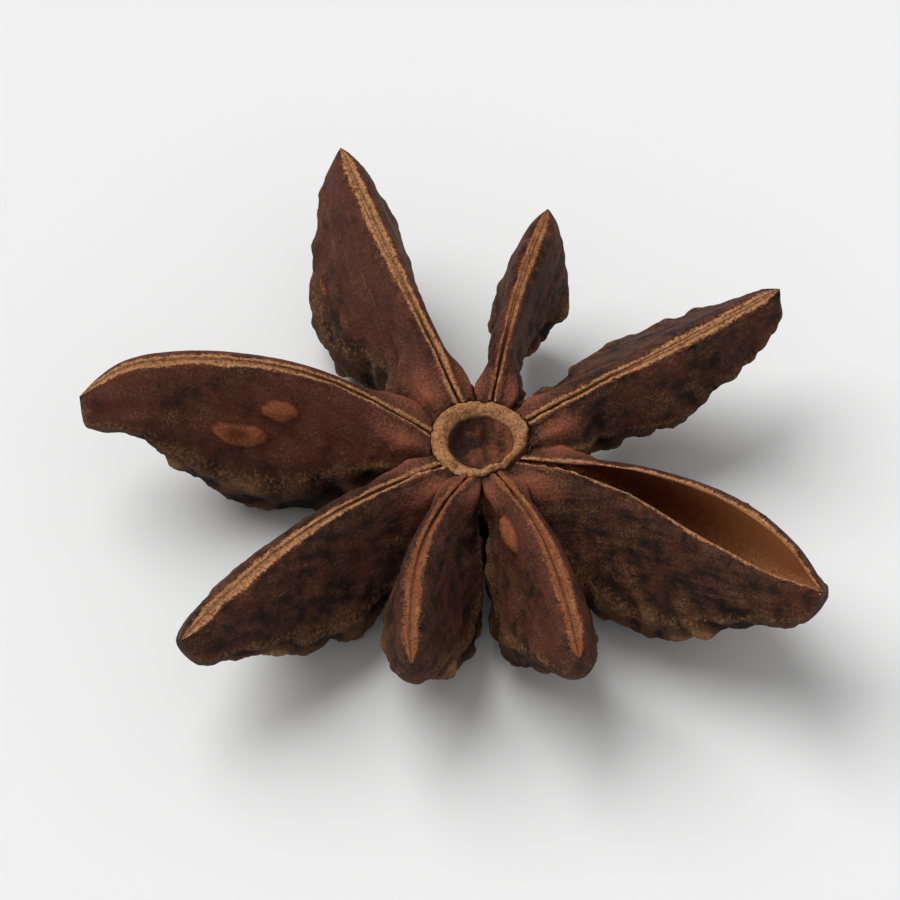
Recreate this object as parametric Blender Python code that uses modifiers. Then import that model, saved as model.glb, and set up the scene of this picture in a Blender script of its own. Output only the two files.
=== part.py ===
"""A dried star anise pod: eight boat-shaped carpels grown together round a short column.

Run it with blender --background --python part.py, or from Blender's text editor.
Sizes are in millimetres and become metres where points are placed. +Z is up, and the pod
lies on z = 0 with its seams on top. The origin is the centre of the pod's footprint.
"""

from collections import namedtuple

import bmesh
import bpy
import numpy as np
from mathutils import Vector, noise

MM = 0.001

# Driving sizes, in millimetres.
RIM_HEIGHT = 6.6  # the column's rim above the floor
HUB_X, HUB_Y = 1.55, -0.43  # the column's axis, from the centre of the footprint
START_RADIUS = 1.9  # where a carpel starts, inside the column
ROOT_RADIUS, ROOT_DROP = 0.6, 3.3  # the point inside the column where its skin closes
LIP = 0.38  # each of the two pale edges that meet along a carpel's seam
LIP_DROP = 0.14  # how far a lip's outer edge stands below its crown
GROOVE_WIDTH, GROOVE_DEPTH = 0.2, 0.25  # between the lips of a shut carpel
WALL = 0.7  # the wall of the carpel that has split open
FLOOR_SHARE = 0.82  # how far down its depth the open carpel is hollow
THINNEST = 0.02  # no half width or depth is smaller, so that a beak stays a solid
LUMP, LUMP_PITCH = 0.42, 2.1  # the lumps on a carpel's back
DENT, DENT_PITCH = 0.12, 1.3  # the dents in its side walls
LUMPS_OVER = 2  # the lumps grow to their full height over this many steps
SEED = 3  # where the lumps and dents fall

# A carpel points along its azimuth, in degrees from +X, and its beak is reach from the axis.
# The seam climbs rise above the rim, droops again at the beak, and bows sideways by sway.
# The belly is width across, is fullest at a share of the length, hangs lean to one side of
# the seam, and ends lift above the floor. The seam gapes by gape.
Carpel = namedtuple("Carpel", "azimuth reach width rise droop sway full lean lift gape")
CARPELS = (
    Carpel(27, 17.2, 5.9, 2.3, 0.0, -0.6, 0.50, 1.8, 2.9, 0.0),
    Carpel(75, 13.6, 3.6, 2.3, 0.0, 0.2, 0.80, 0.6, 1.2, 0.0),
    Carpel(113, 18.5, 5.6, 2.6, 0.0, 0.3, 0.66, 1.2, 0.0, 0.0),
    Carpel(176, 20.4, 6.4, 3.5, 2.0, -1.8, 0.48, 0.5, 0.0, 0.0),
    Carpel(224, 20.6, 6.2, 2.0, 0.0, -0.9, 0.42, 0.2, 0.2, 0.0),
    Carpel(258, 16.6, 4.5, 2.6, 0.0, -1.1, 0.50, 1.1, 0.6, 0.0),
    Carpel(287, 16.6, 4.5, 2.6, 0.0, 0.7, 0.50, -0.7, 0.6, 0.0),
    Carpel(324, 20.9, 7.4, 3.2, 0.0, 1.0, 0.44, -0.4, 0.0, 2.3),
)

# Shares along a carpel, from the column to its beak.
SEAM_RISE = ((0, -0.12), (0.1, 0.12), (0.3, 0.55), (0.6, 0.84), (0.85, 0.97), (1, 1.0))
LIP_SHARE = ((0, 0.9), (0.3, 0.9), (0.8, 1.2), (0.95, 0.8), (1, 0.1))
GAPE_SHARE = (
    (0, 0.0), (0.12, 0.1), (0.35, 0.55), (0.65, 1.0), (0.85, 0.66), (0.97, 0.05), (1, 0.0),
)
DROOP_FROM = 0.8
NECK_END, NECK_FILL = 0.36, 1.1  # up to here carpels fill the angle to their neighbours

# Shares of the belly's width and depth, where the fullest station comes at BELLY_MIDDLE.
BELLY_MIDDLE = 0.45
BELLY_WIDTH = (
    (0, 0.4), (0.15, 0.6), (0.3, 0.88), (0.45, 1.0), (0.65, 0.9), (0.82, 0.62),
    (0.94, 0.42), (0.985, 0.24), (1, 0.06),
)
BELLY_DEPTH = (
    (0, 0.7), (0.12, 0.82), (0.3, 0.97), (0.45, 1.0), (0.6, 0.9), (0.75, 0.64),
    (0.88, 0.42), (0.96, 0.29), (0.99, 0.18), (1, 0.04),
)
# The share of its depth at which a carpel is widest, at its corner between wall and back.
CORNER_DEPTH = ((0, 0.06), (0.1, 0.2), (0.25, 0.42), (0.45, 0.58), (1, 0.6))

STATIONS = 22
BEAK_CROWDING = 1.35  # stations stand closer towards the beak
HOLLOW_STEPS, LIP_STEPS, WALL_STEPS, BACK_STEPS = 5, 2, 3, 4
WALL_BULGE, BACK_BULGE, HOLLOW_BULGE = 0.8, 0.8, 0.6  # under 1 bulges outwards

COLUMN_STEPS = 32
COLUMN_PROFILE = (
    (0.0, -1.05), (1.15, -0.95), (1.7, -0.4), (1.95, 0.0), (2.3, 0.05), (2.55, -0.2),
    (2.6, -1.2), (2.6, -4.2), (2.2, -5.0), (1.2, -5.1), (0.95, -4.75), (0.0, -4.65),
)


def through(stations, share):
    """A smooth curve through (station, value) pairs, read at a share."""
    x, y = np.array(stations, float).T
    slope = np.gradient(y, x)
    i = min(max(np.searchsorted(x, share, side="right") - 1, 0), len(x) - 2)
    step = x[i + 1] - x[i]
    t = (share - x[i]) / step
    start = y[i] * (2 * t**3 - 3 * t**2 + 1) + slope[i] * step * (t**3 - 2 * t**2 + t)
    end = y[i + 1] * (3 * t**2 - 2 * t**3) + slope[i + 1] * step * (t**3 - t**2)
    return start + end


def seam_height(carpel, share):
    """The seam's height above the floor."""
    droop = carpel.droop * (max(share - DROOP_FROM, 0) / (1 - DROOP_FROM)) ** 2
    return RIM_HEIGHT + carpel.rise * through(SEAM_RISE, share) - droop


def deepest(carpel):
    """How far the keel hangs below the seam where the belly is fullest."""
    return seam_height(carpel, carpel.full) - carpel.lift


def distance(carpel, share):
    """How far a station is from the column's axis."""
    return START_RADIUS + (carpel.reach - START_RADIUS) * share


def neighbour_angle(carpel, hand):
    """The angle to the next carpel on one side."""
    turns = [(hand * (other.azimuth - carpel.azimuth)) % 360 for other in CARPELS]
    return np.radians(min(turn for turn in turns if turn))


def half_section(carpel, share, hand):
    """Points from the seam's middle round to the keel, as (sideways, down)."""
    belly = share ** (np.log(BELLY_MIDDLE) / np.log(carpel.full))
    depth = max(deepest(carpel) * through(BELLY_DEPTH, belly), THINNEST)
    wedge = distance(carpel, share) * np.tan(neighbour_angle(carpel, hand) / 2)
    neck = NECK_FILL * wedge * max(1 - (share / NECK_END) ** 2, 0)
    half = max(carpel.width / 2 * through(BELLY_WIDTH, belly), neck, THINNEST)
    corner = depth * through(CORNER_DEPTH, share)
    gape = GROOVE_WIDTH * through(LIP_SHARE, share) + carpel.gape * through(GAPE_SHARE, share)
    lip = min(LIP * through(LIP_SHARE, share), half)
    edge = min(gape / 2 + lip, half)
    gape = min(gape, 2 * edge)
    drop = min(LIP_DROP, corner / 2)

    def outside(down):
        """Half the outer width at a depth above the widest line."""
        return edge + (half - edge) * np.clip(down / corner, 0, 1) ** WALL_BULGE

    hollow = min(GROOVE_DEPTH, depth / 2)
    hollow_steps = 1
    if carpel.gape:
        hollow_steps = HOLLOW_STEPS
        opened = min(gape / (2 * WALL), 1)
        hollow += (depth * FLOOR_SHARE - hollow) * opened * min(share / NECK_END, 1)
    points = [(0, hollow)]
    for step in range(1, hollow_steps):
        angle = step / hollow_steps * np.pi / 2
        down = hollow * np.cos(angle)
        inner = max(outside(down) - lip, 0)
        points.append((inner * np.sin(angle) ** HOLLOW_BULGE, down))
    points.append((gape / 2, drop / 2))
    for step in range(1, LIP_STEPS + 1):
        over = step / LIP_STEPS
        points.append((gape / 2 + (edge - gape / 2) * over, drop * (2 * over - 1) ** 2))
    for step in range(1, WALL_STEPS + 1):
        down = drop + (corner - drop) * step / WALL_STEPS
        points.append((outside(down), down))
    for step in range(1, BACK_STEPS + 1):
        angle = step / BACK_STEPS * np.pi / 2
        side = half * abs(np.cos(angle)) ** BACK_BULGE
        points.append((side, corner + (depth - corner) * np.sin(angle)))
    return points


def placed(carpel, share, side, down):
    """A point of a carpel, in millimetres from the column's foot."""
    bow = np.sin(np.pi * share)
    across = side + (carpel.sway + carpel.lean * down / deepest(carpel)) * bow
    along = distance(carpel, share)
    turn = np.radians(carpel.azimuth)
    x = along * np.cos(turn) - across * np.sin(turn)
    y = along * np.sin(turn) + across * np.cos(turn)
    return Vector((x, y, seam_height(carpel, share) - down))


def roughened(point, step, steps, share):
    """A point moved by soft noise: dents in the walls, lumps on the back, none on the seam."""
    down = min(max((step - (steps - BACK_STEPS - WALL_STEPS)) / WALL_STEPS, 0), 1)
    back = min(max((step - (steps - BACK_STEPS - 1)) / LUMPS_OVER, 0), 1)
    fade = min(1, (1 - share) / (1 - DROOP_FROM))
    point = point + noise.noise_vector(point / DENT_PITCH) * (DENT * down)
    return point + noise.noise_vector(point / LUMP_PITCH) * (LUMP * back * fade)


def carpel_points(carpel):
    """Rings of points from the beak to the column, each going once round the section."""
    rings = []
    for station in range(1, STATIONS):
        share = 1 - (station / STATIONS) ** BEAK_CROWDING
        halves = [half_section(carpel, share, hand) for hand in (1, -1)]
        steps = len(halves[0]) - 1
        ring = []
        for around in range(2 * steps):
            step = min(around, 2 * steps - around)
            hand = 1 if around < steps else -1
            side, down = halves[0 if hand == 1 else 1][step]
            if step in (0, steps):
                side = 0
            point = roughened(placed(carpel, share, hand * side, down), step, steps, share)
            ring.append(point)
        rings.append(ring)
    return rings


def make_carpel(number, carpel, collection):
    """A sphere whose rings become sections, with its top pole at the beak."""
    rings = carpel_points(carpel)
    bm = bmesh.new()
    bmesh.ops.create_uvsphere(bm, u_segments=len(rings[0]), v_segments=STATIONS, radius=1)
    top = placed(carpel, 1, 0, 0)
    root_share = (ROOT_RADIUS - START_RADIUS) / (carpel.reach - START_RADIUS)
    foot = placed(carpel, root_share, 0, ROOT_DROP)
    for vert in bm.verts:
        polar = np.arccos(np.clip(vert.co.z, -1, 1)) / np.pi
        row = round(polar * STATIONS)
        around = round(np.arctan2(vert.co.y, vert.co.x) / (2 * np.pi) * len(rings[0]))
        if 0 < row < STATIONS:
            point = rings[row - 1][around % len(rings[0])].copy()
        else:
            point = (foot if row else top).copy()
        point.z = max(point.z, 0)
        vert.co = point * MM
    bmesh.ops.recalc_face_normals(bm, faces=bm.faces)
    mesh = bpy.data.meshes.new(f"carpel_{number}")
    bm.to_mesh(mesh)
    bm.free()
    mesh.polygons.foreach_set("use_smooth", [True] * len(mesh.polygons))
    made = bpy.data.objects.new(f"carpel_{number}", mesh)
    made.hide_render = True
    made.display_type = "WIRE"
    collection.objects.link(made)
    return made


def make_column(collection):
    """The column: a turned profile with a pit in its top and the stalk's scar underneath."""
    mesh = bpy.data.meshes.new("column")
    points = [(radius * MM, 0, (RIM_HEIGHT + height) * MM) for radius, height in COLUMN_PROFILE]
    mesh.from_pydata(points, [(i, i + 1) for i in range(len(points) - 1)], [])
    column = bpy.data.objects.new("pod", mesh)
    collection.objects.link(column)
    turned = column.modifiers.new("turned", "SCREW")
    turned.steps = turned.render_steps = COLUMN_STEPS
    turned.use_merge_vertices = True
    turned.merge_threshold = 0.00001
    turned.use_smooth_shade = True
    return column


def husk_material():
    """The dry husk's material."""
    material = bpy.data.materials.new("husk")
    material.use_nodes = True
    shader = material.node_tree.nodes["Principled BSDF"]
    shader.inputs["Base Color"].default_value = (0.085, 0.034, 0.02, 1)
    shader.inputs["Roughness"].default_value = 0.6
    shader.inputs["Metallic"].default_value = 0.0
    return material


def main():
    noise.seed_set(SEED)
    for old in list(bpy.data.objects):
        bpy.data.objects.remove(old)
    shown = bpy.data.collections.new("star_anise_pod")
    helpers = bpy.data.collections.new("carpels")
    bpy.context.scene.collection.children.link(shown)
    bpy.context.scene.collection.children.link(helpers)

    pod = make_column(shown)
    pod.data.materials.append(husk_material())
    for number, carpel in enumerate(CARPELS, 1):
        make_carpel(number, carpel, helpers)
    joined = pod.modifiers.new("joined", "BOOLEAN")
    joined.operation = "UNION"
    joined.operand_type = "COLLECTION"
    joined.collection = helpers
    joined.solver = "EXACT"
    for made in (pod, *helpers.objects):
        made.location = (HUB_X * MM, HUB_Y * MM, 0)


main()
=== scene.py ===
"""A dried star anise pod on a pale floor: the wrinkled husk that replaces the frame's plain solid.

Sizes are in millimetres from the column's foot, as in the frame, and become metres where a
mesh is made. The skin of each carpel is a fine grid, roughened by noise, and all are joined.
"""

from collections import namedtuple

import bmesh
import bpy
import numpy as np
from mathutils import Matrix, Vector, noise


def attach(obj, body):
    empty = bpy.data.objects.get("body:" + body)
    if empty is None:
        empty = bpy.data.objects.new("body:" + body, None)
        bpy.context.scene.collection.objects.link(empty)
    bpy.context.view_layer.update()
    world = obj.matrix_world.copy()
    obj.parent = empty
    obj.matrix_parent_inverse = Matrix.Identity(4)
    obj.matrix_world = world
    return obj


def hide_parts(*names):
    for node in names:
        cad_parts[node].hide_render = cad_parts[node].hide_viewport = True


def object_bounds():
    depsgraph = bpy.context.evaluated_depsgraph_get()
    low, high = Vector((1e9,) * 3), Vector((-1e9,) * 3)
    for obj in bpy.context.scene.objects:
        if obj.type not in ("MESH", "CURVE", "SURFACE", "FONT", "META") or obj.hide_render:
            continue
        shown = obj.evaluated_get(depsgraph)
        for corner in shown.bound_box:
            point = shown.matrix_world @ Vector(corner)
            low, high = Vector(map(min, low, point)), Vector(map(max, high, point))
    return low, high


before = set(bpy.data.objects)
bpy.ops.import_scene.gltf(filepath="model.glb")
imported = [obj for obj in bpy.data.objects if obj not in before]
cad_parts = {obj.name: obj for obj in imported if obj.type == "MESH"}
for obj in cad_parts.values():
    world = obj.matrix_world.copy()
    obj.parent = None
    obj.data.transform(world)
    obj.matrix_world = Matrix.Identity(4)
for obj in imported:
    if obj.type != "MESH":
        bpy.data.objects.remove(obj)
cad_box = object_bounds()

MM = 0.001

# The pod's driving sizes, which are the frame's.
RIM_HEIGHT = 6.6  # the column's rim above the floor
HUB = (1.55, -0.43, 0.0)  # the column's foot, from the centre of the footprint
START_RADIUS = 1.9  # where a carpel starts, inside the column
ROOT_RADIUS, ROOT_DROP = 0.6, 3.3  # the point inside the column where its skin closes
LIP, LIP_DROP = 0.38, 0.14  # each pale edge along a seam, and how far its side stands below
GROOVE_WIDTH, GROOVE_DEPTH = 0.2, 0.25
WALL, FLOOR_SHARE = 0.7, 0.82  # the open carpel's wall, and how deep it is hollow
THINNEST = 0.02
LUMP, LUMP_PITCH = 0.42, 2.1
DENT, DENT_PITCH = 0.12, 1.3
SEED = 3

# azimuth in degrees, the beak's reach, the belly's width, the seam's rise, its droop at the
# beak and its sideways sway, the share at which the belly is fullest, its lean to one side,
# its lift off the floor, and how far the seam gapes. tone is how red the walls are, rust how
# far the seam's tan has worn to rust, and band how wide the seam's colour is.
Carpel = namedtuple(
    "Carpel", "azimuth reach width rise droop sway full lean lift gape tone rust band"
)
CARPELS = (
    Carpel(27, 17.2, 5.9, 2.3, 0.0, -0.6, 0.50, 1.8, 2.9, 0.0, 0.35, 0.1, 1.0),
    Carpel(75, 13.6, 3.6, 2.3, 0.0, 0.2, 0.80, 0.6, 1.2, 0.0, 0.55, 0.5, 0.75),
    Carpel(113, 18.5, 5.6, 2.6, 0.0, 0.3, 0.66, 1.2, 0.0, 0.0, 0.85, 0.0, 1.0),
    Carpel(176, 20.4, 6.4, 3.5, 2.0, -1.8, 0.48, 0.5, 0.0, 0.0, 0.75, 0.15, 0.9),
    Carpel(224, 20.6, 6.2, 2.0, 0.0, -0.9, 0.42, 0.2, 0.2, 0.0, 0.35, 0.05, 1.0),
    Carpel(258, 16.6, 4.5, 2.6, 0.0, -1.1, 0.50, 1.1, 0.6, 0.0, 0.5, 0.7, 1.1),
    Carpel(287, 16.6, 4.5, 2.6, 0.0, 0.7, 0.50, -0.7, 0.6, 0.0, 0.75, 0.7, 1.2),
    Carpel(324, 20.9, 7.4, 3.2, 0.0, 1.0, 0.44, -0.4, 0.0, 2.3, 0.4, 0.2, 0.8),
)

# Shares along a carpel, from the column to its beak.
SEAM_RISE = ((0, -0.12), (0.1, 0.12), (0.3, 0.55), (0.6, 0.84), (0.85, 0.97), (1, 1.0))
LIP_SHARE = ((0, 0.9), (0.3, 0.9), (0.8, 1.2), (0.95, 0.8), (1, 0.1))
GAPE_SHARE = (
    (0, 0.0), (0.12, 0.1), (0.35, 0.55), (0.65, 1.0), (0.85, 0.66), (0.97, 0.05), (1, 0.0),
)
GROOVE_SHARE = ((0, 1.0), (0.22, 0.85), (0.42, 0.35), (0.65, 0.12), (1, 0.08))  # it closes outwards
DROOP_FROM = 0.8
NECK_END, NECK_FILL = 0.36, 1.1
BELLY_MIDDLE = 0.45
BELLY_WIDTH = (
    (0, 0.4), (0.15, 0.6), (0.3, 0.88), (0.45, 1.0), (0.65, 0.9), (0.82, 0.62),
    (0.94, 0.42), (0.985, 0.24), (1, 0.06),
)
BELLY_DEPTH = (
    (0, 0.7), (0.12, 0.82), (0.3, 0.97), (0.45, 1.0), (0.6, 0.9), (0.75, 0.64),
    (0.88, 0.42), (0.96, 0.29), (0.99, 0.18), (1, 0.04),
)
CORNER_DEPTH = ((0, 0.06), (0.1, 0.2), (0.25, 0.42), (0.45, 0.58), (1, 0.6))
WALL_BULGE, BACK_BULGE, HOLLOW_BULGE = 0.8, 0.8, 0.6

STATIONS = 96
BEAK_CROWDING = 1.15
GROOVE_STEPS, HOLLOW_STEPS = 3, 16
LIP_STEPS, WALL_STEPS, BACK_STEPS = 8, 20, 16

# Relief, in millimetres: how high, and how far apart.
BACK_FOLDS = ((0.20, 1.9), (0.13, 0.95), (0.05, 0.45))
BACK_SWELL, SWELL_PITCH = 0.3, 1.25
WALL_FOLDS = ((0.15, 1.5), (0.08, 0.7))
WALL_STREAKS, STREAK_LENGTH, STREAK_PITCH = 0.15, 2.8, 0.55
STREAK_SLANT = 0.22  # how fast the wrinkles climb towards the seam
CORNER_RIDGE, CORNER_REACH = 0.13, 0.07
LIP_GRAIN, LIP_WANDER = 0.08, 0.13
SHOULDER = 0.42  # the fold on each side of a seam, beside the column
SHOULDER_MIDDLE, SHOULDER_REACH = 0.3, 0.26  # where it lies on the wall
SHOULDER_START, SHOULDER_FULL, SHOULDER_FADE, SHOULDER_END = 0.02, 0.12, 0.06, 0.24
SHOULDER_WEAR, SHOULDER_PITCH = 0.5, 0.9
FOLD_GAIN, FOLD_LEVEL = 2.4, 0.6  # a fold is the noise's size times one, less the other
GRAIN_PITCHES = (0.5, 0.27)
LIP_BLUR = 0.06  # the share of the wall over which a lip fades out
BAND_WEAR = 0.35  # how unevenly the seam's colour ends
BEAK_ROUGHNESS = 0.45  # the least share of the back's folds that a beak keeps
RELIEF_END = 0.93  # the share at which the relief starts to fade at the beak
CARPEL_STEP, HAND_STEP = 31, 9  # these set each wall's wrinkles apart from the others'

# Marks on the walls: which carpel and hand, share along, share down, half length and width
# in millimetres, height, and how deep the middle is sunk.
Mark = namedtuple("Mark", "carpel hand share down length width height sunk")
MARKS = (
    Mark(3, 1, 0.56, 0.52, 1.4, 0.72, 0.36, 0.2),
    Mark(3, 1, 0.45, 0.27, 0.95, 0.6, 0.34, 0.0),
    Mark(6, -1, 0.33, 0.24, 1.3, 0.62, 0.45, 0.0),
    Mark(2, 1, 0.70, 0.74, 0.5, 0.24, 0.12, 0.0),
)
WALL_SHARE = 0.75  # how much of a carpel's depth its wall takes, for the marks
MARK_MIDDLE, MARK_EDGE, MARK_STAIN = (0.25, 0.7), (0.65, 1.2), (0.8, 1.3)  # where each fades

COLUMN_PROFILE = (
    (0.0, -1.05), (1.15, -0.95), (1.7, -0.4), (1.95, 0.0), (2.3, 0.05), (2.55, -0.2),
    (2.6, -1.2), (2.6, -4.2), (2.2, -5.0), (1.2, -5.1), (0.95, -4.75), (0.0, -4.65),
)
RIM_FOOT = 6  # the point of the profile where the rim ends and the column's side starts
COLUMN_ROWS, COLUMN_STEPS, ROW_CROWDING = 64, 150, 1.4
PIT_RADIUS, PIT_BLUR = 1.65, 0.15
RIM_RADIUS, RIM_REACH = 2.15, 0.42
ROUGH_PITCH, FINE_PITCH, GRIT_PITCH = 0.9, 0.4, 0.25
LOBE_SWELL, ROUND_SWELL, ROUND_PITCH = 0.04, 0.08, 1.2  # how far the rim is from a circle
NOTCH_REACH = 0.12
PIT_LUMP, RIM_LUMP, RIM_NOTCH = 0.3, 0.17, 0.18
CRACK_RADIUS, CRACK_WIDTH, CRACK_DEPTH = 2.4, 0.13, 0.5
CRACK_WANDER, CRACK_PITCH = 0.08, 0.8
CRACK_MIDDLE, CRACK_SPREAD = 318, 62  # the arc of the rim that has cracked, in degrees
CRACK_FULL = 0.7  # the share of that arc where it is open all the way

# What each point of the skin is part of. A skin that doesn't name a mask has 0 there.
MASKS = (
    "lip", "side", "back", "hollow", "rim", "pit", "fold", "mark", "scar", "relief",
    "along", "wrinkle_x", "wrinkle_y", "tone", "rust",
)

WORLD_LIGHT = 0.36
FRAME_SHARE = 1.22  # how much wider than the pod the picture is


def through(stations, share):
    """A smooth curve through (station, value) pairs, read at an array of shares."""
    x, y = np.array(stations, float).T
    slope = np.gradient(y, x)
    i = np.clip(np.searchsorted(x, share, side="right") - 1, 0, len(x) - 2)
    step = x[i + 1] - x[i]
    t = (share - x[i]) / step
    start = y[i] * (2 * t**3 - 3 * t**2 + 1) + slope[i] * step * (t**3 - 2 * t**2 + t)
    end = y[i + 1] * (3 * t**2 - 2 * t**3) + slope[i + 1] * step * (t**3 - t**2)
    return start + end


def ease(value, low, high):
    """0 below low, 1 above high, and smooth between."""
    t = np.clip((value - low) / (high - low), 0, 1)
    return t * t * (3 - 2 * t)


def hill(value, middle, reach):
    return np.exp(-(((value - middle) / reach) ** 2))


def noise_at(points, pitch):
    """Soft noise between -1 and 1 at an array of points."""
    flat = points.reshape(-1, 3) / pitch
    return np.array([noise.noise(p) for p in flat.tolist()]).reshape(points.shape[:-1])


def shift_at(points, pitch):
    """Soft noise vectors at an array of points."""
    flat = points.reshape(-1, 3) / pitch
    return np.array([noise.noise_vector(p) for p in flat.tolist()]).reshape(points.shape)


def folds(points, layers):
    """Rounded bumps with sharp creases between them."""
    return sum(
        high * (np.abs(noise_at(points, pitch)) * FOLD_GAIN - FOLD_LEVEL) for high, pitch in layers
    )


def seam_height(carpel, share):
    droop = carpel.droop * (np.maximum(share - DROOP_FROM, 0) / (1 - DROOP_FROM)) ** 2
    return RIM_HEIGHT + carpel.rise * through(SEAM_RISE, share) - droop


def deepest(carpel):
    """How far the keel hangs below the seam where the belly is fullest."""
    return seam_height(carpel, np.array(carpel.full)) - carpel.lift


def distance(carpel, share):
    return START_RADIUS + (carpel.reach - START_RADIUS) * share


def neighbour_angle(carpel, hand):
    turns = [(hand * (other.azimuth - carpel.azimuth)) % 360 for other in CARPELS]
    return np.radians(min(turn for turn in turns if turn))


def half_skin(carpel, share, hand):
    """Sideways and down over half a carpel, with each point's place in its four regions."""
    share = share[:, None]
    belly = share ** (np.log(BELLY_MIDDLE) / np.log(carpel.full))
    depth = np.maximum(deepest(carpel) * through(BELLY_DEPTH, belly), THINNEST)
    wedge = distance(carpel, share) * np.tan(neighbour_angle(carpel, hand) / 2)
    neck = NECK_FILL * wedge * np.maximum(1 - (share / NECK_END) ** 2, 0)
    half = np.maximum(np.maximum(carpel.width / 2 * through(BELLY_WIDTH, belly), neck), THINNEST)
    corner = depth * through(CORNER_DEPTH, share)
    gape = GROOVE_WIDTH * through(LIP_SHARE, share) + carpel.gape * through(GAPE_SHARE, share)
    lip = np.minimum(LIP * through(LIP_SHARE, share), half)
    edge = np.minimum(gape / 2 + lip, half)
    gape = np.minimum(gape, 2 * edge)
    drop = np.minimum(LIP_DROP, corner / 2)
    opening = np.ones_like(share) if carpel.gape else through(GROOVE_SHARE, share)

    def outside(down):
        return edge + (half - edge) * np.clip(down / corner, 0, 1) ** WALL_BULGE

    crown = drop / 2 * opening
    hollow = np.minimum(GROOVE_DEPTH * opening, depth / 2) + crown
    inner_steps = GROOVE_STEPS
    if carpel.gape:
        inner_steps = HOLLOW_STEPS
        opened = np.minimum(gape / (2 * WALL), 1)
        hollow = hollow + (depth * FLOOR_SHARE - hollow) * opened * np.minimum(share / NECK_END, 1)
    angle = np.arange(inner_steps)[None] / inner_steps * np.pi / 2
    in_down = hollow * np.cos(angle) + crown * np.sin(angle)
    in_side = np.maximum(outside(in_down) - lip, 0) * np.sin(angle) ** HOLLOW_BULGE
    in_side[:, 0] = 0

    over = np.arange(LIP_STEPS + 1)[None] / LIP_STEPS
    lip_side = gape / 2 + (edge - gape / 2) * over
    lip_down = np.where(over < 0.5, crown, drop) * (2 * over - 1) ** 2
    downwards = (np.arange(WALL_STEPS)[None] + 1) / WALL_STEPS
    wall_down = drop + (corner - drop) * downwards
    round_back = (np.arange(BACK_STEPS)[None] + 1) / BACK_STEPS
    back_side = half * np.abs(np.cos(round_back * np.pi / 2)) ** BACK_BULGE
    back_side[:, -1] = 0
    back_down = corner + (depth - corner) * np.sin(round_back * np.pi / 2)

    side = np.concatenate([in_side, lip_side, outside(wall_down), back_side], axis=1)
    down = np.concatenate([in_down, lip_down, wall_down, back_down], axis=1)
    steps = (inner_steps, LIP_STEPS + 1, WALL_STEPS, BACK_STEPS)
    starts = np.cumsum((0, *steps))
    step = np.arange(starts[-1])
    region = [np.clip((step - starts[i] + 1) / steps[i], 0, 1) for i in range(4)]
    region[1] = np.clip((step - starts[1]) / LIP_STEPS, 0, 1)
    return side, down, np.array(region)


def placed(carpel, share, side, down):
    """Points of a carpel, in millimetres from the column's foot."""
    bow = np.sin(np.pi * share)
    across = side + (carpel.sway + carpel.lean * down / deepest(carpel)) * bow
    along = distance(carpel, share)
    turn = np.radians(carpel.azimuth)
    x = along * np.cos(turn) - across * np.sin(turn)
    y = along * np.sin(turn) + across * np.cos(turn)
    return np.stack([x, y, seam_height(carpel, share) - down], axis=-1)


def normals_of(grid):
    """Outward directions on a grid of points, whose columns go once round."""
    along = np.gradient(grid, axis=0)
    around = np.roll(grid, -1, axis=1) - np.roll(grid, 1, axis=1)
    cross = np.cross(around, along)
    return cross / np.maximum(np.linalg.norm(cross, axis=2, keepdims=True), 1e-9)


def mark_relief(number, carpel, share, hand, wall, inside):
    """Height of the bumps and scars on one carpel, and where they stain and sink its wall."""
    height = np.zeros_like(wall)
    stain = np.zeros_like(wall)
    scar = np.zeros_like(wall)
    for mark in MARKS:
        if mark.carpel != number:
            continue
        length = (share - mark.share) * (carpel.reach - START_RADIUS) / mark.length
        width = (wall - mark.down) * deepest(carpel) * WALL_SHARE / mark.width
        far = np.sqrt(length**2 + width**2)
        on = (hand == mark.hand) * (wall > 0) * (1 - inside)
        middle = on * (1 - ease(far, *MARK_MIDDLE))
        height += on * mark.height * (1 - ease(far, *MARK_EDGE)) - mark.sunk * middle
        stain += on * (1 - ease(far, *MARK_STAIN))
        scar += middle * (mark.sunk > 0)
    return height, np.clip(stain, 0, 1), np.clip(scar, 0, 1)


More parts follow.
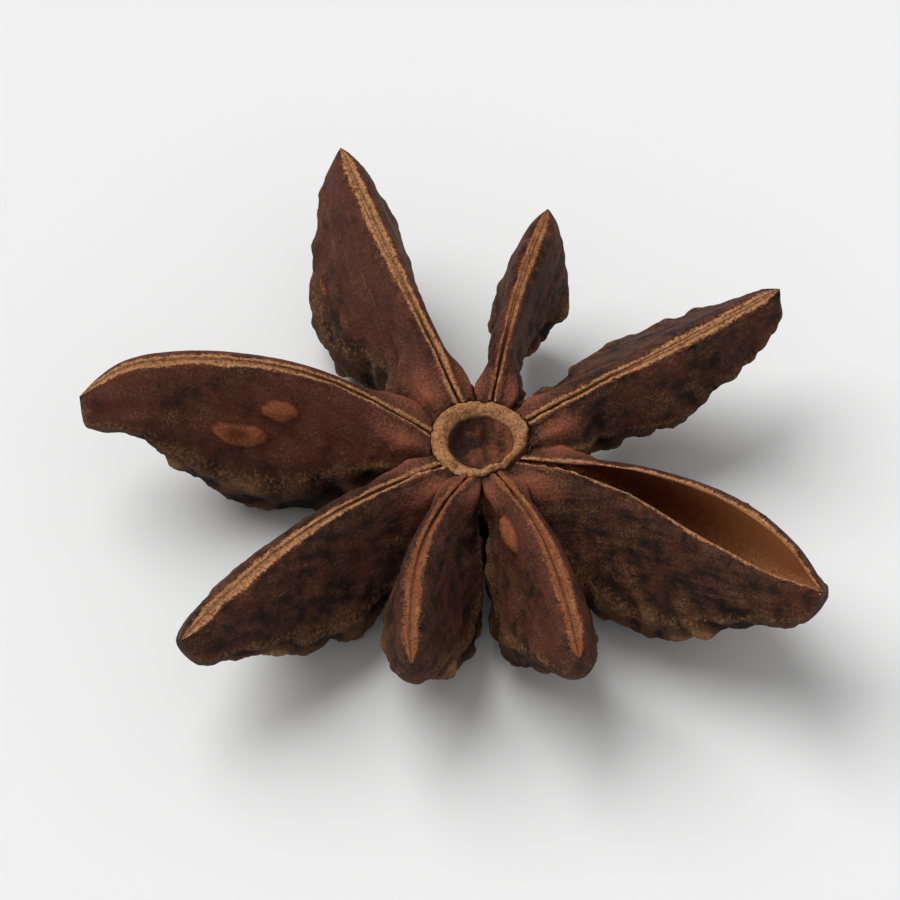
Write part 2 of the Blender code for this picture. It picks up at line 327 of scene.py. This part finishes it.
def carpel_skin(number, carpel):
    """A carpel's grid of points, from its beak to the column, and what each point is part of."""
    share = 1 - (np.arange(1, STATIONS) / STATIONS) ** BEAK_CROWDING
    left, right = (half_skin(carpel, share, hand) for hand in (1, -1))
    count = left[0].shape[1]
    order = np.concatenate([np.arange(count), np.arange(count - 2, 0, -1)])
    hand = np.where(np.arange(len(order)) < count, 1, -1)[None]
    side = np.where(hand == 1, left[0][:, order], -right[0][:, order])
    down = np.where(hand == 1, left[1][:, order], right[1][:, order])
    inside, lip, wall, back = left[2][:, order][:, None] * np.ones((1, len(share), 1))
    share = share[:, None] * np.ones_like(side)
    points = placed(carpel, share, side, down)

    backed = ease(wall, 0.55, 1) * 0.5 + ease(back, 0, 0.3) * 0.5
    tapering = np.minimum(1, (1 - share) / (1 - DROOP_FROM))
    points = points + DENT * wall[..., None] * shift_at(points, DENT_PITCH)
    points = points + (LUMP * backed * tapering)[..., None] * shift_at(points, LUMP_PITCH)

    hollow = np.where(lip > 0, 0, inside) if carpel.gape else np.zeros_like(side)
    on_lip = (lip > 0) * (1 - ease(wall, 0.0, LIP_BLUR))
    span = distance(carpel, share)
    slanted = down + STREAK_SLANT * span
    shift = CARPEL_STEP * number
    aside = HAND_STEP * hand * np.ones_like(span)
    local = np.stack([span / STREAK_LENGTH + shift, slanted / STREAK_PITCH, aside], axis=-1)
    streaks = noise_at(local, 1)
    bumpy = folds(points, WALL_FOLDS) + WALL_STREAKS * streaks
    knobbly = folds(points, BACK_FOLDS) + BACK_SWELL * noise_at(points, SWELL_PITCH)
    ridge = CORNER_RIDGE * tapering * hill(wall + back, 1, CORNER_REACH) * (streaks + 0.6)
    grain = LIP_GRAIN * on_lip * sum(noise_at(points, pitch) for pitch in GRAIN_PITCHES)
    beside = hill(wall, SHOULDER_MIDDLE, SHOULDER_REACH)
    beside = beside * ease(share, SHOULDER_START, SHOULDER_FULL)
    beside = beside * (1 - ease(share, SHOULDER_FADE, SHOULDER_END))
    shoulder = SHOULDER * beside * (1 + SHOULDER_WEAR * noise_at(points, SHOULDER_PITCH))
    relief = wall * (1 - backed) * bumpy + backed * np.maximum(tapering, BEAK_ROUGHNESS) * knobbly
    relief = relief + ridge + grain + shoulder
    marked, stain, scar = mark_relief(number, carpel, share, hand, wall, hollow)
    height = (relief + marked) * (1 - ease(share, RELIEF_END, 1))
    wander = LIP_WANDER * on_lip * noise_at(local * (1, 0, 0) * STREAK_LENGTH / 2, 1)
    points = points + normals_of(points) * height[..., None]
    turn = np.radians(carpel.azimuth)
    points = points + wander[..., None] * (-np.sin(turn), np.cos(turn), 0)

    unevenness = 1 + BAND_WEAR * noise_at(local * (2, 0, 0), 1)
    tan = (1 - ease(wall, 0.0, LIP_BLUR)) * (1 - ease(lip, 0.1, carpel.band * unevenness))
    masks = {
        "lip": tan * (1 - hollow),
        "side": side,
        "back": backed,
        "hollow": hollow * ease(share, 0.1, 0.2),
        "fold": np.clip(beside * 1.3, 0, 1),
        "mark": stain,
        "scar": scar,
        "relief": np.clip(0.5 + relief * 2.2, 0, 1),
        "along": share,
        "wrinkle_x": span + shift,
        "wrinkle_y": slanted + aside,
        "tone": carpel.tone,
        "rust": carpel.rust,
    }
    root_share = (ROOT_RADIUS - START_RADIUS) / (carpel.reach - START_RADIUS)
    poles = placed(carpel, np.array([1, root_share]), np.zeros(2), np.array([0, ROOT_DROP]))
    return points, poles, masks


def column_skin():
    """The column's grid: the pit, the rim round it, the sides and the stalk's scar."""
    profile = np.array(COLUMN_PROFILE)
    length = np.concatenate([[0], np.cumsum(np.linalg.norm(np.diff(profile, axis=0), axis=1))])
    place = (np.arange(1, COLUMN_ROWS) / COLUMN_ROWS) ** ROW_CROWDING * length[-1]
    radius = np.interp(place, length, profile[:, 0])[:, None]
    height = np.interp(place, length, profile[:, 1])[:, None]
    angle = np.arange(COLUMN_STEPS)[None] / COLUMN_STEPS * 2 * np.pi
    top = place[:, None] < length[RIM_FOOT]
    points = np.stack(
        [radius * np.cos(angle), radius * np.sin(angle), RIM_HEIGHT + height + 0 * angle], axis=-1
    )
    pit = top * ease(-radius, -PIT_RADIUS - PIT_BLUR, -PIT_RADIUS + PIT_BLUR) + 0 * angle
    rim = top * hill(radius, RIM_RADIUS, RIM_REACH) + 0 * angle
    notch = np.zeros_like(rim)
    for carpel in CARPELS:
        between = np.radians(carpel.azimuth) + neighbour_angle(carpel, 1) / 2
        apart = np.abs((angle - between + np.pi) % (2 * np.pi) - np.pi)
        notch = notch + hill(apart, 0, NOTCH_REACH)
    degrees = np.abs((np.degrees(angle) - CRACK_MIDDLE + 180) % 360 - 180)
    open_arc = 1 - ease(degrees, CRACK_SPREAD * CRACK_FULL, CRACK_SPREAD)
    crack_line = CRACK_RADIUS + CRACK_WANDER * noise_at(points, CRACK_PITCH)
    crack = open_arc * hill(radius, crack_line, CRACK_WIDTH) * top
    rough = noise_at(points, ROUGH_PITCH) + 0.5 * noise_at(points, FINE_PITCH)
    raised = pit * PIT_LUMP * rough + rim * RIM_LUMP * (rough + noise_at(points, GRIT_PITCH))
    raised = raised - RIM_NOTCH * rim * notch - CRACK_DEPTH * crack
    points[..., 2] += raised
    swell = 1 + LOBE_SWELL * np.sin(3 * angle + 1) * rim
    swell = swell + ROUND_SWELL * noise_at(points, ROUND_PITCH) * np.maximum(rim, pit * 0.5)
    points[..., :2] *= swell[..., None]
    masks = {
        "side": 3.0,
        "back": ease(place[:, None], length[RIM_FOOT], length[RIM_FOOT + 1]),
        "rim": np.clip(rim * 1.9, 0, 1) * (1 - np.clip(crack * 2, 0, 1)) * (1 - pit),
        "pit": np.clip(pit + crack, 0, 1),
        "relief": np.clip(0.5 + 1.6 * raised, 0, 1),
        "wrinkle_x": points[..., 0],
        "wrinkle_y": points[..., 1],
        # Across the column, tone grows towards +x; the pit's colour takes it as painted light.
        "tone": 0.5 + 0.5 * points[..., 0] / PIT_RADIUS,
    }
    poles = np.array([(0, 0, RIM_HEIGHT + profile[0, 1]), (0, 0, RIM_HEIGHT + profile[-1, 1])])
    return points, poles, masks


def skin_object(name, points, poles, masks):
    """A closed mesh from a grid whose first and last rows close on two poles."""
    rows, columns = points.shape[:2]
    low, high = (np.array(corner) / MM for corner in cad_box)
    flat = np.concatenate([points.reshape(-1, 3), poles]) + HUB
    flat = np.clip(flat, low, high)
    index = np.arange(rows * columns).reshape(rows, columns)
    after = np.roll(index, -1, axis=1)
    quads = np.stack([index[:-1], index[1:], after[1:], after[:-1]], axis=-1).reshape(-1, 4)
    first, last = rows * columns, rows * columns + 1
    cap = [(first, a, b) for a, b in zip(index[0], after[0])]
    base = [(last, b, a) for a, b in zip(index[-1], after[-1])]
    mesh = bpy.data.meshes.new(name)
    mesh.from_pydata((flat * MM).tolist(), [], quads.tolist() + cap + base)
    for mask in MASKS:
        values = np.broadcast_to(masks.get(mask, 0.0), (rows, columns))
        ends = [values[0].mean(), values[-1].mean()]
        attribute = mesh.attributes.new(mask, "FLOAT", "POINT")
        attribute.data.foreach_set("value", np.concatenate([values.reshape(-1), ends]))
    made = bpy.data.objects.new(name, mesh)
    bpy.context.scene.collection.objects.link(made)
    return made


def keep_largest(mesh):
    """Keeps a mesh's largest connected body. A union can leave loose slivers beside it."""
    bm = bmesh.new()
    bm.from_mesh(mesh)
    unseen = set(bm.verts)
    largest = set()
    while unseen:
        island = set()
        front = {unseen.pop()}
        while front:
            island |= front
            front = {edge.other_vert(vert) for vert in front for edge in vert.link_edges} - island
        unseen -= island
        if len(island) > len(largest):
            largest = island
    loose = [vert for vert in bm.verts if vert not in largest]
    bmesh.ops.delete(bm, geom=loose, context="VERTS")
    bm.to_mesh(mesh)
    bm.free()


def build_husk():
    """All the skins joined into one mesh, which still touches itself near the column."""
    noise.seed_set(SEED)
    husk = skin_object("husk", *column_skin())
    others = [
        skin_object(f"carpel_{number}", *carpel_skin(number, carpel))
        for number, carpel in enumerate(CARPELS)
    ]
    for other in others:
        joined = husk.modifiers.new(other.name, "BOOLEAN")
        joined.operation = "UNION"
        joined.solver = "MANIFOLD"
        joined.object = other
    evaluated = husk.evaluated_get(bpy.context.evaluated_depsgraph_get())
    mesh = bpy.data.meshes.new_from_object(evaluated)
    keep_largest(mesh)
    husk.modifiers.clear()
    husk.data = mesh
    for other in others:
        bpy.data.objects.remove(other)
    mesh.shade_smooth()
    return husk


class Nodes:
    """Short ways to add the nodes of one material."""

    def __init__(self, name):
        self.material = bpy.data.materials.new(name)
        self.material.use_nodes = True
        self.tree = self.material.node_tree
        self.shader = self.tree.nodes["Principled BSDF"]

    def link(self, source, target):
        self.tree.links.new(source, target)

    def put(self, kind, sockets=None, **settings):
        """A node with its settings; sockets are values or other nodes' outputs."""
        node = self.tree.nodes.new(kind)
        for name, value in settings.items():
            setattr(node, name, value)
        for key, value in (sockets or {}).items():
            if isinstance(value, bpy.types.NodeSocket):
                self.link(value, node.inputs[key])
            else:
                node.inputs[key].default_value = value
        return node

    def mask(self, name):
        return self.put("ShaderNodeAttribute", attribute_name=name).outputs["Fac"]

    def maths(self, operation, first, second=0.0, clamp=False):
        sockets = {0: first, 1: second}
        node = self.put("ShaderNodeMath", sockets, operation=operation, use_clamp=clamp)
        return node.outputs[0]

    def spread(self, value, low, high, to_low=0.0, to_high=1.0):
        """Maps low to high smoothly onto another range."""
        sockets = {"Value": value, "From Min": low, "From Max": high, "To Min": to_low, "To Max": to_high}
        node = self.put("ShaderNodeMapRange", sockets, interpolation_type="SMOOTHSTEP")
        return node.outputs["Result"]

    def noise(self, where, scale, detail=3.0, rough=0.55, seed=0.0):
        sockets = {"Vector": where, "Scale": scale, "Detail": detail, "Roughness": rough, "W": seed}
        node = self.put("ShaderNodeTexNoise", sockets, noise_dimensions="4D")
        return node.outputs["Fac"]

    def blend(self, share, first, second, kind="MIX"):
        """One colour over another; share is how much of the second."""
        node = self.put("ShaderNodeMix", data_type="RGBA", blend_type=kind)
        for value, socket in ((share, 0), (first, 6), (second, 7)):
            target = node.inputs[socket]
            if isinstance(value, bpy.types.NodeSocket):
                self.link(value, target)
            else:
                target.default_value = value
        return node.outputs[2]


def colour(red, green, blue):
    return (red, green, blue, 1.0)


# Colours of the dry husk, as linear shares of light.
# Dark patches on the walls, and painted shade in their creases.
WALL_DARK = colour(0.011, 0.006, 0.005)
WALL_BROWN = colour(0.066, 0.023, 0.012)
WALL_RED = colour(0.108, 0.032, 0.018)
# A painted highlight for the walls' crests.
WALL_CREST_HIGHLIGHT = colour(0.180, 0.086, 0.046)
# Dark specks on the walls, and painted shade in the backs' creases.
DARK_SPECK_AND_CREASE_SHADE = colour(0.011, 0.006, 0.004)
BACK_BROWN = colour(0.075, 0.033, 0.015)
# A painted highlight on the backs' crests, and the pale line along each corner.
BACK_TAN = colour(0.250, 0.130, 0.060)
SEAM_TAN = colour(0.520, 0.252, 0.110)
SEAM_RUST = colour(0.250, 0.082, 0.031)
# Painted shade in the seams' grooves.
GROOVE_SHADE = colour(0.030, 0.011, 0.006)
HOLLOW_DEEP = colour(0.220, 0.068, 0.030)
HOLLOW_AMBER = colour(0.640, 0.275, 0.105)
RIM_TAN = colour(0.520, 0.260, 0.115)
RIM_BROWN = colour(0.290, 0.118, 0.048)
PIT_DARK = colour(0.030, 0.011, 0.007)
PIT_BROWN = colour(0.210, 0.070, 0.030)
FOLD_RED = colour(0.270, 0.080, 0.045)
MARK_RUST = colour(0.270, 0.086, 0.032)
SCAR_DARK = colour(0.085, 0.022, 0.009)


def husk_material():
    """The husk: tan seams, red-brown walls and rough backs with painted highlights on their crests and
    painted shade in their creases, an amber hollow.
    """
    n = Nodes("dry_husk")
    at = n.put("ShaderNodeTexCoord").outputs["Object"]
    where = n.put("ShaderNodeVectorMath", {0: at, "Scale": 1 / MM}, operation="SCALE").outputs[0]
    relief, tone, back = n.mask("relief"), n.mask("tone"), n.mask("back")
    patches = n.noise(where, 0.5, 4, 0.6, 1.0)
    blotches = n.noise(where, 1.5, 4, 0.65, 2.0)
    specks = n.noise(where, 5.0, 4, 0.65, 3.0)
    dust = n.noise(where, 9.0, 3, 0.75, 4.0)
    across = n.maths("MULTIPLY", n.mask("wrinkle_y"), 2.6)
    slow = n.maths("MULTIPLY", n.mask("wrinkle_x"), 0.5)
    flow = n.put("ShaderNodeCombineXYZ", {0: slow, 1: across}).outputs[0]
    wrinkles = n.noise(flow, 1.0, 4, 0.6, 5.0)

    # Dark patches on the walls from blotches and wrinkles, and painted shade in their creases, where the
    # relief is low.
    unevenness = n.maths("ADD", n.maths("MULTIPLY", blotches, 0.5), n.maths("MULTIPLY", wrinkles, 0.3))
    unevenness = n.maths("ADD", unevenness, n.maths("MULTIPLY", relief, 0.2))
    redness = n.spread(n.maths("ADD", patches, n.maths("MULTIPLY", tone, 0.32)), 0.56, 0.84)
    wall = n.blend(n.spread(unevenness, 0.42, 0.57), WALL_DARK, WALL_BROWN)
    wall = n.blend(n.maths("MULTIPLY", redness, 0.85), wall, WALL_RED)
    # Painted highlight: the walls are lighter on their crests and wrinkles, broken into specks.
    crests = n.maths("ADD", n.maths("MULTIPLY", relief, 0.6), n.maths("MULTIPLY", wrinkles, 0.4))
    crest_highlight = n.maths("MULTIPLY", n.spread(crests, 0.44, 0.66), n.spread(dust, 0.44, 0.64))
    wall = n.blend(n.maths("MULTIPLY", crest_highlight, 0.85), wall, WALL_CREST_HIGHLIGHT)
    black = n.maths("MULTIPLY", n.spread(specks, 0.42, 0.3), n.spread(patches, 0.6, 0.4))
    wall = n.blend(n.maths("MULTIPLY", black, 0.8), wall, DARK_SPECK_AND_CREASE_SHADE)

    # Painted shade and highlight on the backs: near black in their creases and pale tan on their crests.
    crest = n.maths("ADD", relief, n.maths("MULTIPLY", n.maths("SUBTRACT", specks, 0.5), 0.8))
    back_shade_and_highlight = n.blend(n.spread(crest, 0.2, 0.6), DARK_SPECK_AND_CREASE_SHADE, BACK_BROWN)
    back_shade_and_highlight = n.blend(n.spread(crest, 0.72, 1.1), back_shade_and_highlight, BACK_TAN)
    backed = n.maths("ADD", back, n.maths("SUBTRACT", blotches, 0.5))
    skin = n.blend(n.spread(backed, 0.1, 0.75), wall, back_shade_and_highlight)
    corner = n.maths("MULTIPLY", n.spread(back, 0.34, 0.48), n.spread(back, 0.66, 0.52))
    corner = n.maths("MULTIPLY", corner, n.spread(specks, 0.48, 0.62, 0.0, 0.55))
    skin = n.blend(corner, skin, BACK_TAN)
    folded = n.maths("MULTIPLY", n.mask("fold"), n.spread(relief, 0.4, 0.8, 0.25, 0.95))
    skin = n.blend(folded, skin, FOLD_RED)
    outline = n.maths("MULTIPLY", n.spread(n.mask("mark"), 0.0, 0.3), 0.85)
    skin = n.blend(outline, skin, SCAR_DARK)
    speckled = n.spread(specks, 0.3, 0.6, 0.5, 1.0)
    stained = n.maths("MULTIPLY", n.spread(n.mask("mark"), 0.4, 0.9), speckled)
    skin = n.blend(stained, skin, MARK_RUST)
    skin = n.blend(n.maths("MULTIPLY", n.mask("scar"), 0.5), skin, SCAR_DARK)

    uneven = n.maths("MULTIPLY", n.maths("SUBTRACT", blotches, 0.5), 1.6)
    rusty = n.maths("ADD", n.mask("rust"), uneven)
    seam = n.blend(n.spread(rusty, 0.1, 0.8), SEAM_TAN, SEAM_RUST)
    seam = n.blend(n.spread(specks, 0.56, 0.36, 0.0, 0.8), seam, SEAM_RUST)
    seam = n.blend(n.spread(dust, 0.44, 0.3, 0.0, 0.7), seam, WALL_BROWN)
    # Painted shade in the groove: a dark line down the seam's middle, strong near the column and fading
    # outwards.
    middle = n.spread(n.maths("ABSOLUTE", n.mask("side")), 0.04, 0.13, 1.0, 0.0)
    near = n.spread(n.mask("along"), 0.12, 0.55, 0.95, 0.12)
    seam = n.blend(n.maths("MULTIPLY", middle, near), seam, GROOVE_SHADE)
    seam = n.blend(n.spread(n.mask("lip"), 0.85, 0.4, 0.0, 0.75), seam, SEAM_RUST)
    ragged = n.maths("MULTIPLY", n.maths("SUBTRACT", n.maths("ADD", specks, dust), 1.0), 1.7)
    skin = n.blend(n.spread(n.maths("ADD", n.mask("lip"), ragged), 0.3, 0.85), skin, seam)

    lit = n.spread(n.maths("ADD", n.mask("along"), n.maths("MULTIPLY", patches, 0.4)), 0.45, 0.95)
    inner = n.blend(lit, HOLLOW_DEEP, HOLLOW_AMBER)
    skin = n.blend(n.mask("hollow"), skin, inner)
    rim = n.blend(n.spread(specks, 0.38, 0.6), RIM_BROWN, RIM_TAN)
    skin = n.blend(n.spread(n.mask("rim"), 0.2, 0.6), skin, rim)
    # Painted light in the pit: lighter on its raised bumps and towards +x, darker towards -x, besides its
    # blotches.
    bright = n.maths("ADD", n.maths("MULTIPLY", blotches, 0.7), n.maths("MULTIPLY", relief, 0.25))
    bright = n.maths("ADD", bright, n.maths("MULTIPLY", tone, 0.25))
    pit = n.blend(n.spread(bright, 0.5, 0.82), PIT_DARK, PIT_BROWN)
    skin = n.blend(n.mask("pit"), skin, pit)
    grain = n.spread(dust, 0.3, 0.7, 0.68, 1.32)
    evened = n.maths("MULTIPLY", n.maths("SUBTRACT", 1.0, grain), n.mask("hollow"))
    grain = n.maths("ADD", grain, n.maths("MULTIPLY", evened, 0.8))
    shade = n.put("ShaderNodeCombineColor", {0: grain, 1: grain, 2: grain}).outputs[0]
    n.link(n.blend(1.0, skin, shade, "MULTIPLY"), n.shader.inputs["Base Color"])

    satin = n.maths("MULTIPLY", n.mask("hollow"), -0.32)
    coarse = n.maths("MULTIPLY", back, 0.14)
    rough = n.maths("ADD", n.spread(specks, 0.3, 0.7, 0.56, 0.74), n.maths("ADD", satin, coarse))
    n.link(rough, n.shader.inputs["Roughness"])
    n.shader.inputs["Specular IOR Level"].default_value = 0.12

    smooth = n.maths("SUBTRACT", 1.0, n.maths("MULTIPLY", n.mask("hollow"), 0.85))
    bumps = n.maths("ADD", specks, n.maths("MULTIPLY", dust, 0.5))
    bumps = n.maths("ADD", bumps, n.maths("MULTIPLY", wrinkles, 0.9))
    sockets = {"Height": n.maths("MULTIPLY", bumps, smooth), "Strength": 1.0, "Distance": 0.16 * MM}
    n.link(n.put("ShaderNodeBump", sockets).outputs[0], n.shader.inputs["Normal"])
    return n.material


def pale_floor():
    """A wide, plain, pale floor."""
    reach = 3.0
    corners = [(-reach, -reach, 0), (reach, -reach, 0), (reach, reach, 0), (-reach, reach, 0)]
    mesh = bpy.data.meshes.new("floor")
    mesh.from_pydata(corners, [], [(0, 1, 2, 3)])
    floor = bpy.data.objects.new("floor", mesh)
    bpy.context.scene.collection.objects.link(floor)
    n = Nodes("pale_floor")
    n.shader.inputs["Base Color"].default_value = colour(0.88, 0.88, 0.88)
    n.shader.inputs["Roughness"].default_value = 0.9
    n.shader.inputs["Specular IOR Level"].default_value = 0.1
    mesh.materials.append(n.material)


def lamp(name, towards, strength, softness):
    """A soft sun whose light comes from a direction."""
    light = bpy.data.lights.new(name, "SUN")
    light.energy = strength
    light.angle = np.radians(softness)
    made = bpy.data.objects.new(name, light)
    made.rotation_euler = Vector(towards).to_track_quat("Z", "Y").to_euler()
    bpy.context.scene.collection.objects.link(made)


def surroundings(strength):
    """An even pale world, which the camera and reflections see as white."""
    world = bpy.data.worlds.new("pale_world")
    bpy.context.scene.world = world
    world.use_nodes = True
    tree = world.node_tree
    background = tree.nodes["Background"]
    background.inputs["Color"].default_value = colour(1, 1, 1)
    path = tree.nodes.new("ShaderNodeLightPath")
    mirrored = tree.nodes.new("ShaderNodeMath")
    mirrored.operation = "MAXIMUM"
    tree.links.new(path.outputs["Is Camera Ray"], mirrored.inputs[0])
    tree.links.new(path.outputs["Is Glossy Ray"], mirrored.inputs[1])
    either = tree.nodes.new("ShaderNodeMath")
    either.operation = "MAXIMUM"
    tree.links.new(mirrored.outputs[0], either.inputs[0])
    tree.links.new(path.outputs["Is Transmission Ray"], either.inputs[1])
    seen = tree.nodes.new("ShaderNodeMapRange")
    tree.links.new(either.outputs[0], seen.inputs["Value"])
    seen.inputs["To Min"].default_value = strength
    seen.inputs["To Max"].default_value = 1.0
    tree.links.new(seen.outputs["Result"], background.inputs["Strength"])


def camera_on(target, azimuth, elevation, width):
    """A long lens that looks at the target and sees a frame of the given width there."""
    lens, sensor = 0.3, 0.036
    data = bpy.data.cameras.new("camera")
    data.lens, data.sensor_width = lens / MM, sensor / MM
    made = bpy.data.objects.new("camera", data)
    bpy.context.scene.collection.objects.link(made)
    turn, tilt = np.radians(azimuth), np.radians(elevation)
    back = Vector((np.sin(turn) * np.cos(tilt), -np.cos(turn) * np.cos(tilt), np.sin(tilt)))
    made.location = target + back * (width * lens / sensor)
    made.rotation_euler = back.to_track_quat("Z", "Y").to_euler()
    data.clip_start = 0.01
    bpy.context.scene.camera = made


husk = build_husk()
husk.data.materials.clear()
husk.data.materials.append(husk_material())
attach(husk, "root")
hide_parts("pod")

pale_floor()
surroundings(WORLD_LIGHT)
lamp("key", towards=(-0.45, 0.25, 0.86), strength=2.2, softness=50)
lamp("fill", towards=(0.25, -0.80, 0.55), strength=0.25, softness=80)
low, high = cad_box
camera_on((low + high) / 2, azimuth=0, elevation=52, width=FRAME_SHARE * (high.x - low.x))
bpy.context.scene.view_settings.view_transform = "Standard"
